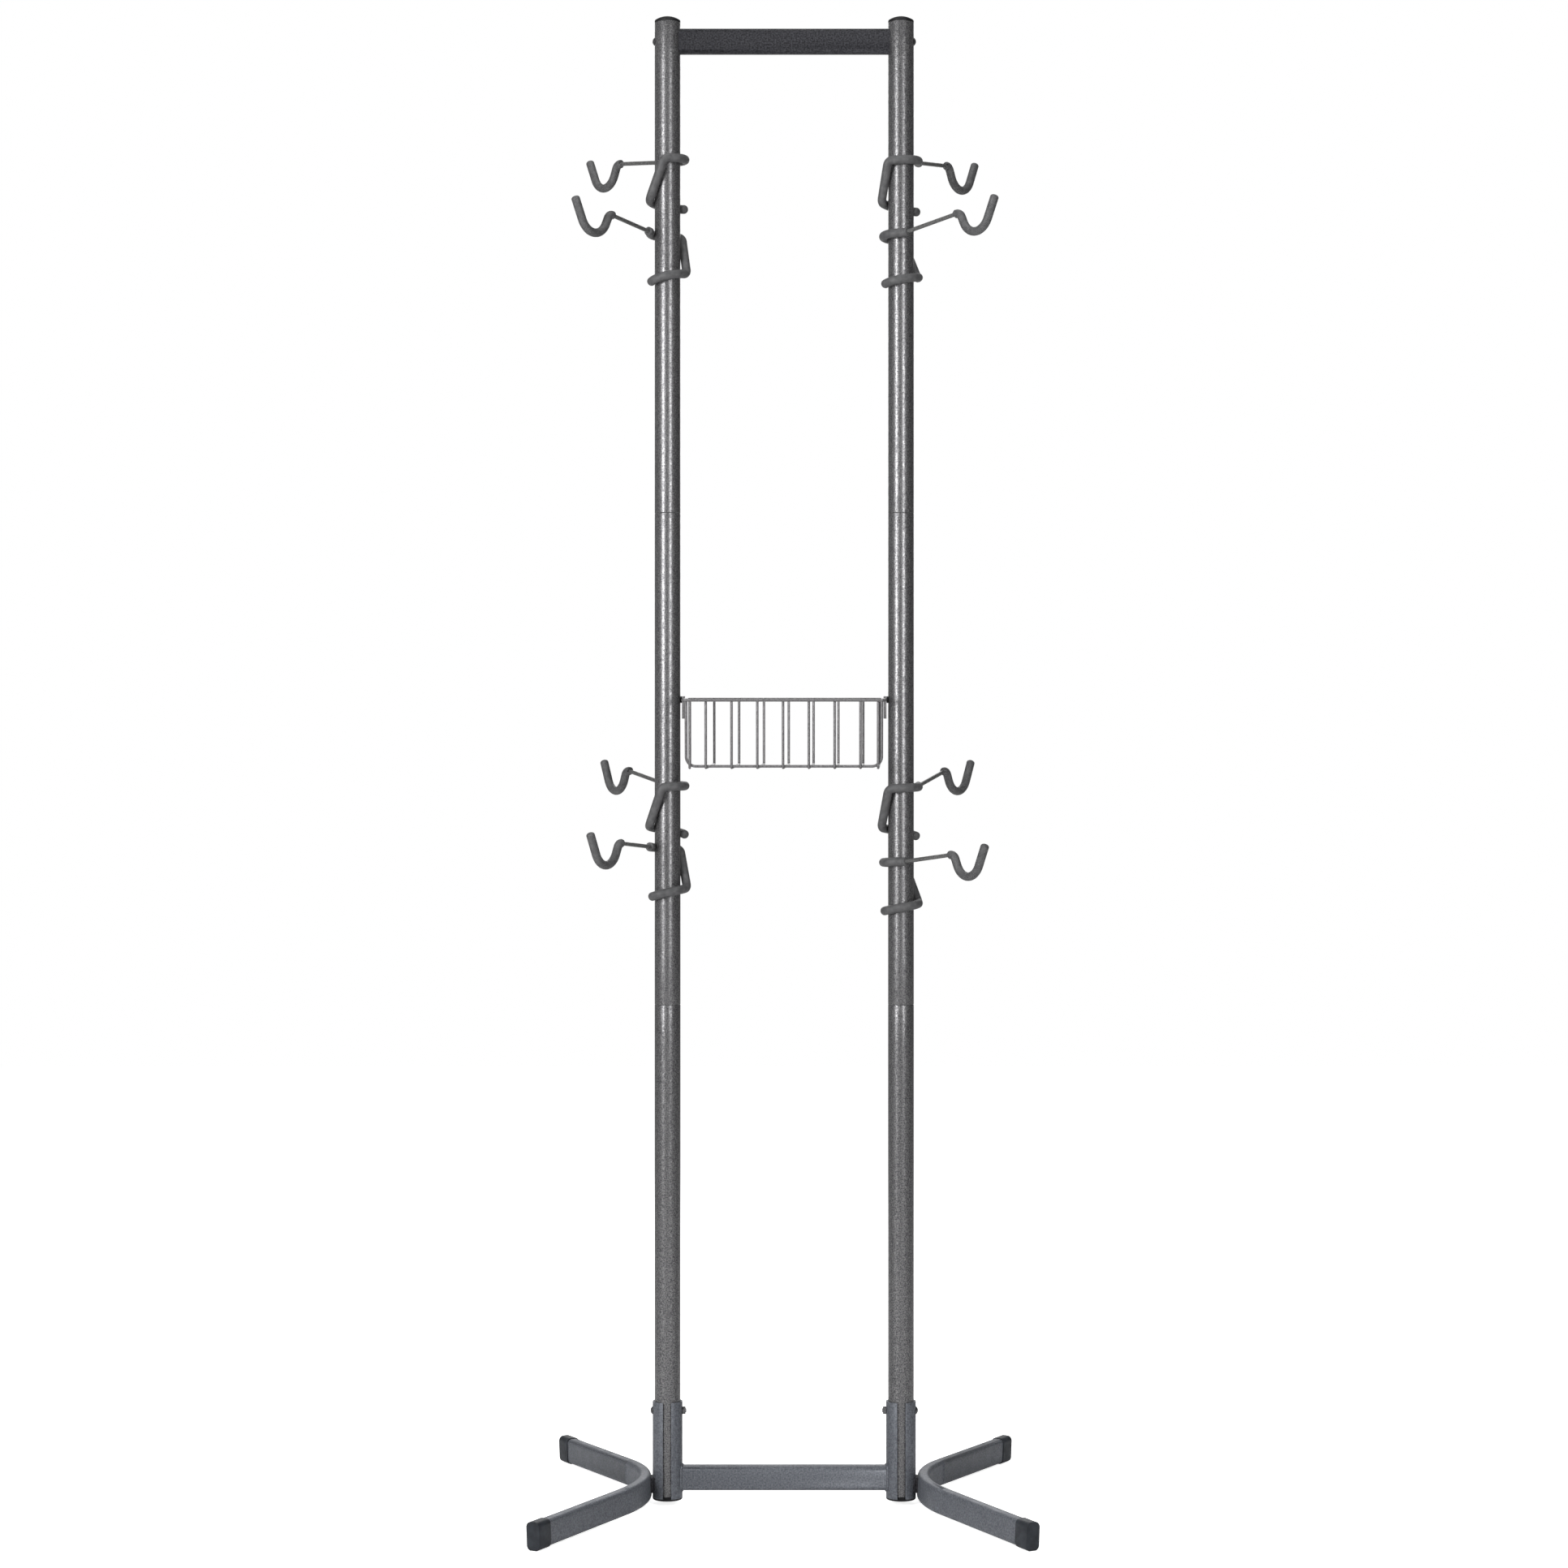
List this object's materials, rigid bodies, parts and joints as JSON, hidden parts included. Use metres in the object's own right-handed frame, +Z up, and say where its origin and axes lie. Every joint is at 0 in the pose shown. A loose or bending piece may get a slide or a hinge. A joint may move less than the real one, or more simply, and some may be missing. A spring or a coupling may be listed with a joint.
{
  "type": "freestanding bike rack",
  "caption": "Freestanding rack with two posts on forked legs, bent-rod hooks that slide and grip the posts, and a lift-off wire basket.",
  "frame": {"origin": "on the floor, midway between the two posts", "axes": "+Z up, +X to the right from one post to the other, -Y towards the viewer of the picture"},
  "size_m": [0.7118, 0.6382, 2.197],
  "materials": {
    "frame_paint": "dark grey metallic powder coat, fine hammered texture",
    "base_paint": "charcoal grey satin powder coat",
    "rod_paint": "dark grey satin paint",
    "wire_paint": "mid grey satin coat",
    "soft_sleeve": "matt dark grey soft sleeve",
    "black_plastic": "satin black moulding",
    "foot_plastic": "matt slate-dark moulding",
    "dark_steel": "dark zinc plated"
  },
  "bodies": {
    "frame": {"left_post_lower": "frame_paint", "left_post_middle": "frame_paint", "left_post_upper": "frame_paint", "right_post_lower": "frame_paint", "right_post_middle": "frame_paint", "right_post_upper": "frame_paint", "left_post_cap": "black_plastic", "right_post_cap": "black_plastic", "top_bar": "base_paint", "top_bar_inserts": "dark_steel", "top_bar_bolts": "dark_steel", "bottom_bar": "base_paint", "left_socket": "base_paint", "right_socket": "base_paint", "left_socket_plug": "black_plastic", "right_socket_plug": "black_plastic", "socket_bolts": "dark_steel", "socket_nuts": "dark_steel", "left_leg": "base_paint", "right_leg": "base_paint", "leg_plates": "base_paint", "front_left_foot_cap": "foot_plastic", "back_left_foot_cap": "foot_plastic", "front_right_foot_cap": "foot_plastic", "back_right_foot_cap": "foot_plastic", "basket_pegs": "black_plastic"},
    "hook_left_1": {"left_1_hook_rod": "rod_paint", "left_1_cradle_sleeve": "soft_sleeve", "left_1_grip_sleeve": "soft_sleeve"},
    "hook_left_2": {"left_2_hook_rod": "rod_paint", "left_2_cradle_sleeve": "soft_sleeve", "left_2_grip_sleeve": "soft_sleeve"},
    "hook_left_3": {"left_3_hook_rod": "rod_paint", "left_3_cradle_sleeve": "soft_sleeve", "left_3_grip_sleeve": "soft_sleeve"},
    "hook_left_4": {"left_4_hook_rod": "rod_paint", "left_4_cradle_sleeve": "soft_sleeve", "left_4_grip_sleeve": "soft_sleeve"},
    "hook_right_1": {"right_1_hook_rod": "rod_paint", "right_1_cradle_sleeve": "soft_sleeve", "right_1_grip_sleeve": "soft_sleeve"},
    "hook_right_2": {"right_2_hook_rod": "rod_paint", "right_2_cradle_sleeve": "soft_sleeve", "right_2_grip_sleeve": "soft_sleeve"},
    "hook_right_3": {"right_3_hook_rod": "rod_paint", "right_3_cradle_sleeve": "soft_sleeve", "right_3_grip_sleeve": "soft_sleeve"},
    "hook_right_4": {"right_4_hook_rod": "rod_paint", "right_4_cradle_sleeve": "soft_sleeve", "right_4_grip_sleeve": "soft_sleeve"},
    "basket": {"basket_rim": "wire_paint", "basket_front_frame": "wire_paint", "basket_cross_wires": "wire_paint", "basket_hangers": "wire_paint"}
  },
  "joints": [
    {"name": "slide_left_1", "type": "slide", "parent": "frame", "child": "hook_left_1", "axis": [0, 0, 1], "range_m": [-0.01, 0.12]},
    {"name": "slide_left_2", "type": "slide", "parent": "frame", "child": "hook_left_2", "axis": [0, 0, 1], "range_m": [-0.3, 0.01]},
    {"name": "slide_left_3", "type": "slide", "parent": "frame", "child": "hook_left_3", "axis": [0, 0, 1], "range_m": [-0.002, 0.08]},
    {"name": "slide_left_4", "type": "slide", "parent": "frame", "child": "hook_left_4", "axis": [0, 0, 1], "range_m": [-0.4, 0.002]},
    {"name": "slide_right_1", "type": "slide", "parent": "frame", "child": "hook_right_1", "axis": [0, 0, 1], "range_m": [-0.01, 0.12]},
    {"name": "slide_right_2", "type": "slide", "parent": "frame", "child": "hook_right_2", "axis": [0, 0, 1], "range_m": [-0.3, 0.01]},
    {"name": "slide_right_3", "type": "slide", "parent": "frame", "child": "hook_right_3", "axis": [0, 0, 1], "range_m": [-0.005, 0.06]},
    {"name": "slide_right_4", "type": "slide", "parent": "frame", "child": "hook_right_4", "axis": [0, 0, 1], "range_m": [-0.4, 0.01]},
    {"name": "basket_lift", "type": "slide", "parent": "frame", "child": "basket", "axis": [0, -0.0384, 0.9993], "range_m": [0, 0.04]}
  ]
}
